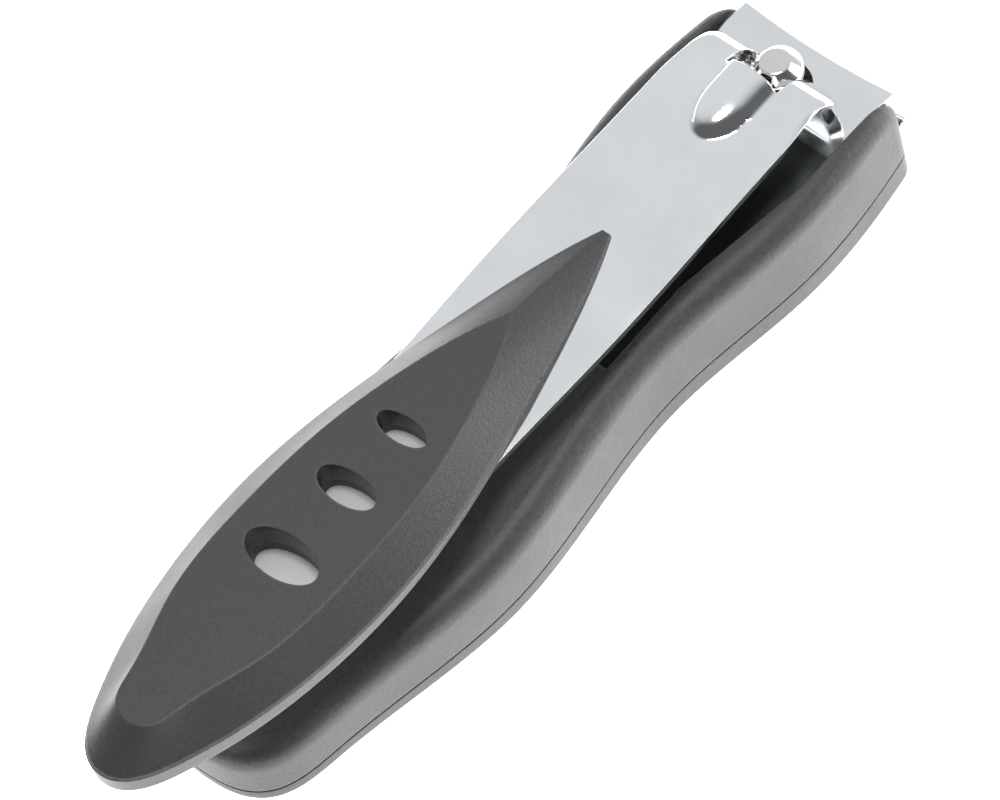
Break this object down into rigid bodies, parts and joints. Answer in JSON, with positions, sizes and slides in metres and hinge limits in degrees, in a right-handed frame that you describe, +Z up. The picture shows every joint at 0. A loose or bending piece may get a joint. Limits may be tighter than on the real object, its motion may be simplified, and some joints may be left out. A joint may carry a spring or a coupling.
{
  "type": "nail clipper",
  "caption": "Compound-lever nail clipper with a folding gripped lever and a plastic case that catches the clippings, shown folded for storage.",
  "frame": {"origin": "bottom centre of the bounding box, with the lever folded", "axes": "+X towards the jaws, +Y to the left, +Z up out of the case"},
  "size_m": [0.082, 0.02, 0.0151],
  "materials": {
    "case_plastic": "fine grained satin moulding",
    "grip_plastic": "fine grained satin moulding",
    "chrome": "polished chrome plate",
    "pin_steel": "turned and plated"
  },
  "bodies": {
    "case": {"case_upper": "case_plastic", "case_lower": "case_plastic"},
    "lower_arm": {"lower_blade": "chrome", "rear_rivet": "chrome"},
    "upper_arm": {"upper_blade": "chrome"},
    "pin": {"lever_pin": "pin_steel"},
    "lever": {"lever": "chrome", "grip_base": "grip_plastic", "grip_top": "grip_plastic"}
  },
  "joints": [
    {"name": "case_slide", "type": "slide", "parent": "case", "child": "lower_arm", "axis": [1, 0, 0], "range_m": [0, 0.006]},
    {"name": "jaw_close", "type": "hinge", "parent": "lower_arm", "child": "upper_arm", "pos_m": [-0.02116, 0, 0.0035], "axis": [0, 1, 0], "range_deg": [0, 2.6], "stiffness_Nm_per_rad": 0.4, "springref_deg": -2.86},
    {"name": "pin_turn", "type": "hinge", "parent": "lower_arm", "child": "pin", "pos_m": [0.03564, 0, 0.0085], "axis": [0, 0, 1], "continuous": true},
    {"name": "lever_flip", "type": "hinge", "parent": "pin", "child": "lever", "pos_m": [0.03624, 0, 0.00982], "axis": [0, 1, 0], "range_deg": [0, 120]}
  ]
}
